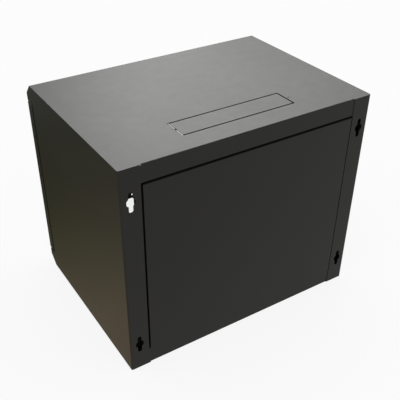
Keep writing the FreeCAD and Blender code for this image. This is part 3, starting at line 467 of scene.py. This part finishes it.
# %% Which faces look outwards
boxes = [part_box(name) for name in outside]
low = [min(box[0][axis] for box in boxes) for axis in range(3)]
high = [max(box[1][axis] for box in boxes) for axis in range(3)]
sheet_reach = 0.0015                     # how far from the skin a face may lie
least_turn = 0.3                         # how far its normal must lean towards the skin


def looks_outwards(face):
    """True where the face is part of the cabinet's outer skin."""
    for axis in range(3):
        toward = face.normal[axis]
        skin = high[axis] if toward > 0 else low[axis]
        if abs(toward) > least_turn and abs(face.center[axis] - skin) < sheet_reach:
            return True
    return False


print("shell from", low, "to", high)

# %% Give the inside faces the coat of painted shade
for name in outside:
    mesh = nodes[name].data
    mesh.materials.append(shaded_inner_coat)
    inside = [face for face in mesh.polygons if not looks_outwards(face)]
    for face in inside:
        face.material_index = 1
    print(name, "has", len(inside), "inside faces of", len(mesh.polygons))

# %% [markdown]
# ## The pull pin's spring
# The upper hinge pin is held up by a compression spring that stands on its bracket. The solid is
# an open coil in short straight runs, which would show its corners. Here a round wire is wound
# smoothly instead, with one closed turn at each end, and its ends are ground flat. It could be a
# curve with a bevel. A ring swept by the Screw modifier is used, because each stretch's pitch is
# then a plain number.

# %% Sizes of the spring
slide = next(joint for joint in frame["joints"] if joint["name"] == "hinge_pin_slide")
spring_foot = slide["deforming_nodes"][0]["fixed_end_z_m"]
bush_low, bush_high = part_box("upper_bush")
pin_axis = (bush_low + bush_high) / 2
spring_length, wire, coil_radius = 0.026, 0.0012, 0.0038
end_rise = 0.3 * wire                    # of the wire's centre above each ground end
open_turns = 4
closed_pitch = wire * 1.05
open_pitch = (spring_length - 2 * end_rise - 2 * closed_pitch) / open_turns
print("spring foot", spring_foot, "open pitch", round(open_pitch, 5))


# %% One stretch of coil
def wind(name, start, turns, pitch):
    """A ring of wire, swept up and round the object's own Z axis."""
    bpy.ops.object.select_all(action="DESELECT")
    bpy.ops.mesh.primitive_circle_add(vertices=16, radius=wire / 2, rotation=(math.pi / 2, 0, 0))
    stretch = bpy.context.object
    stretch.name = name
    bpy.ops.object.transform_apply(location=False, rotation=True, scale=False)
    bpy.ops.object.mode_set(mode="EDIT")
    bpy.ops.mesh.select_all(action="SELECT")
    bpy.ops.transform.translate(value=(coil_radius, 0.0, start))
    bpy.ops.object.mode_set(mode="OBJECT")
    sweep = stretch.modifiers.new("sweep", "SCREW")
    sweep.axis, sweep.screw_offset, sweep.iterations = "Z", pitch, turns
    sweep.steps = sweep.render_steps = 24
    bpy.ops.object.modifier_apply(modifier=sweep.name)
    return stretch


first = spring_foot + end_rise
second = first + closed_pitch
third = second + open_turns * open_pitch
stretches = [wind("lower_turn", first, 1, closed_pitch),
             wind("open_turns", second, open_turns, open_pitch),
             wind("upper_turn", third, 1, closed_pitch)]
print("wound", [len(stretch.data.vertices) for stretch in stretches], "vertices")

# %% [markdown]
# The three stretches meet ring to ring. Left as three pieces they would show a seam wherever they
# meet, so they become one object.

# %% Join the coil
bpy.ops.object.select_all(action="DESELECT")
for stretch in stretches:
    stretch.select_set(True)
bpy.context.view_layer.objects.active = stretches[0]
bpy.ops.object.join()
spring = bpy.context.object
spring.name = "pull_spring_coil"
print("joined", len(spring.data.vertices), "vertices")

# %% [markdown]
# Merging the doubled vertices makes one wire, and its two open ends are filled. A spring's ends
# are ground flat, so that it stands upright. A Boolean with a block could cut them, but a bisect
# at the foot and one at the top need no block. The wire is so thin that the bisect needs a much
# smaller threshold than its usual tenth of a millimetre.

# %% Merge the rings and grind the ends
bpy.ops.object.mode_set(mode="EDIT")
bpy.ops.mesh.select_all(action="SELECT")
bpy.ops.mesh.remove_doubles(threshold=0.00001)
bpy.ops.mesh.fill_holes(sides=0)
bpy.ops.mesh.select_all(action="SELECT")
bpy.ops.mesh.normals_make_consistent(inside=False)
for height, up in ((spring_foot, 1.0), (spring_foot + spring_length, -1.0)):
    bpy.ops.mesh.select_all(action="SELECT")
    bpy.ops.mesh.bisect(plane_co=(0.0, 0.0, height), plane_no=(0.0, 0.0, up), use_fill=True,
                        clear_inner=True, threshold=0.0000001)
bpy.ops.object.mode_set(mode="OBJECT")
print("ground", len(spring.data.vertices), "vertices")

# %% [markdown]
# The wire is round, so its shading is smooth, but the edges of the ground ends stay sharp. The
# coil was wound about its own axis and now moves onto the pin's.

# %% Set the spring on the pin's axis
bpy.ops.object.shade_smooth_by_angle(angle=math.radians(40))
spring.location = (pin_axis.x, pin_axis.y, 0.0)
bpy.ops.object.transform_apply(location=True, rotation=False, scale=False)
print("spring", len(spring.data.polygons), "faces on the axis", round(pin_axis.x, 5),
      round(pin_axis.y, 5))

# %% [markdown]
# The spring rides on the door and stands for its plain solid.

# %% Finish the spring and hang it on the door
spring.data.materials.append(spring_steel)
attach(spring, "door")
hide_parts("pull_spring")
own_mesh(spring)

# %% [markdown]
# ## What the camera, reflections and glass see
# A shader can ask which kind of ray has reached it. The camera, mirror-like reflections and rays
# that come through glass should all see the same white surround. Only the light that bounces
# between matt surfaces is kept apart, so the floor and the world share this small test. A second
# helper mixes two shaders by any such test.

# %% Rays that see directly
def seen_directly(owner):
    """1 where the camera, a reflection or the glass looks, and 0 where light bounces."""
    ray = add_node(owner, "ShaderNodeLightPath")
    return combine(owner, "MAXIMUM", ray.outputs["Is Camera Ray"], ray.outputs["Is Glossy Ray"],
                   ray.outputs["Is Transmission Ray"])


def mix_surface(owner, factor, first, second):
    """Gives the owner the first shader where the factor is 0 and the second where it is 1."""
    mix = add_node(owner, "ShaderNodeMixShader",
                   {0: factor, 1: first.outputs[0], 2: second.outputs[0]})
    feed(owner, owner.node_tree.get_output_node("ALL"), {"Surface": mix.outputs[0]})


print("made the helpers seen_directly and mix_surface")

# %% [markdown]
# ## Floor
# The cabinet stands on a wide pale floor, which fills the whole view behind it. The floor is
# matt and nearly white. Lamps could light it up to white, but they would wash out the cabinet's
# shadow too. So part of its white is its own glow, which only direct rays see: it lifts the floor
# to white away from the cabinet and still lets a soft shadow show close to it.

# %% Pale floor
bpy.ops.object.select_all(action="DESELECT")
bpy.ops.mesh.primitive_plane_add(size=30.0, location=(0.0, 0.0, -0.0005))
floor = bpy.context.object
floor.name = "floor"
floor_paint, floor_shader = start_material("white_floor", Base_Color=(0.93, 0.93, 0.93, 1.0),
                                           Roughness=0.9, Specular_IOR_Level=0.0)
floor.data.materials.append(floor_paint)
print("floor at", floor.location.z)

# %% [markdown]
# Under the cabinet the glow is off, so the slots in its bottom look down on a dark floor. The
# edge of that patch lies a little inside the shell, where it can't be seen.

# %% The floor's glow
glow_share = 0.85
patch_margin = 0.01
x, y, _ = split(floor_paint, object_coordinates(floor_paint))
outside_patch = [calculate(floor_paint, "GREATER_THAN",
                           calculate(floor_paint, "ABSOLUTE", axis), edge - patch_margin)
                 for axis, edge in ((x, high[0]), (y, high[1]))]
direct_share = calculate(floor_paint, "MULTIPLY", seen_directly(floor_paint), glow_share)
floor_factor = calculate(floor_paint, "MULTIPLY", direct_share,
                         combine(floor_paint, "MAXIMUM", *outside_patch))
floor_glow = add_node(floor_paint, "ShaderNodeEmission", Strength=1.0)
mix_surface(floor_paint, floor_factor, floor_shader, floor_glow)
print("floor's own glow", glow_share)

# %% [markdown]
# ## World
# The world is an even white surround, a little under full strength where it lights matt surfaces.
# The camera, reflections and glass see it at a strength of one, which is plain white. A studio
# with walls and lamps could do the same, but the black coat would mirror each of them.

# %% White surround
white = (1.0, 1.0, 1.0, 1.0)
world = bpy.data.worlds.new("studio")
bpy.context.scene.world = world
world.use_nodes = True
soft_light = world.node_tree.nodes["Background"]
soft_light.inputs["Color"].default_value = white
soft_light.inputs["Strength"].default_value = 0.9
backdrop = add_node(world, "ShaderNodeBackground", Color=white, Strength=1.0)
mix_surface(world, seen_directly(world), soft_light, backdrop)
print("world", soft_light.inputs["Strength"].default_value)

# %% [markdown]
# ## Cards
# Black semi-gloss paint gets its shape from what it reflects, so two cards are placed where the
# coat mirrors them, and light nothing else. A bright one beyond the cabinet lies in the top sheet's
# low reflection. It could be a glowing plane, but a lamp leaves less grain in a blurred
# reflection. It is rolled a little, which lets its far end fade along the sheet.

# %% A card that only reflections see
card_data = bpy.data.lights.new("far_card", "AREA")
card_data.shape = "RECTANGLE"
card_data.size, card_data.size_y, card_data.energy = 1.9, 2.36, 152.0
far_card = bpy.data.objects.new("far_card", card_data)
bpy.context.scene.collection.objects.link(far_card)
far_card.location = (-0.54, -0.9, 2.0)
aim, roll = Vector((0.0, 0.0, 0.5)), math.radians(-25.0)
facing = (aim - far_card.location).to_track_quat("-Z", "Y").to_euler()
facing.rotate_axis("Z", roll)
far_card.rotation_euler = facing
far_card.visible_camera = far_card.visible_diffuse = far_card.visible_transmission = False
print("bright card at", tuple(far_card.location))

# %% [markdown]
# The side panel would mirror the white floor, which turns black paint grey. A toned card lies on
# the floor beside it instead. It is a plane and not a lamp, because a lamp has one colour and
# this card has several.

# %% Toned card beside the side panel
bpy.ops.object.select_all(action="DESELECT")
card_width, card_length = 1.2, 2.1
card_gap = 0.001                         # beside the cabinet, and above the frame's zero
bpy.ops.mesh.primitive_plane_add(
    size=1.0, location=(high[0] + card_gap + card_width / 2, -0.45, card_gap))
toned = bpy.context.object
toned.name = "toned_card"
toned.scale = (card_width, card_length, 1.0)
bpy.ops.object.transform_apply(location=True, rotation=False, scale=True)
toned.visible_camera = toned.visible_diffuse = toned.visible_transmission = False
toned.visible_shadow = False
print("toned card", tuple(toned.dimensions))

# %% [markdown]
# The card is dark far out in front and a pale, warm cream beside the cabinet's rear foot. Its
# glow follows its own Y coordinate through a colour ramp. Reflections alone see it, and only
# blurred ones: to the sharp mirror of the door's glass the card is clear.

# %% The card's tones
toned_paint, _ = start_material("toned_card")
toned.data.materials.append(toned_paint)
_, y, _ = split(toned_paint, object_coordinates(toned_paint))
along = add_node(toned_paint, "ShaderNodeMapRange", {"Value": y}, From_Min=-1.3, From_Max=0.3)
tones = add_ramp(toned_paint, along.outputs["Result"],
                 (0.0, (0.04, 0.04, 0.01)), (0.3, (0.09, 0.09, 0.02)), (0.53, (0.2, 0.19, 0.06)),
                 (0.69, (0.5, 0.45, 0.23)), (0.84, (0.92, 0.72, 0.47)))
toned_glow = add_node(toned_paint, "ShaderNodeEmission", {"Color": tones}, Strength=1.0)
clear = add_node(toned_paint, "ShaderNodeBsdfTransparent")
sharp = add_node(toned_paint, "ShaderNodeLightPath").outputs["Is Singular Ray"]
mix_surface(toned_paint, sharp, toned_glow, clear)
print("stage", floor.name, toned.name, far_card.name)
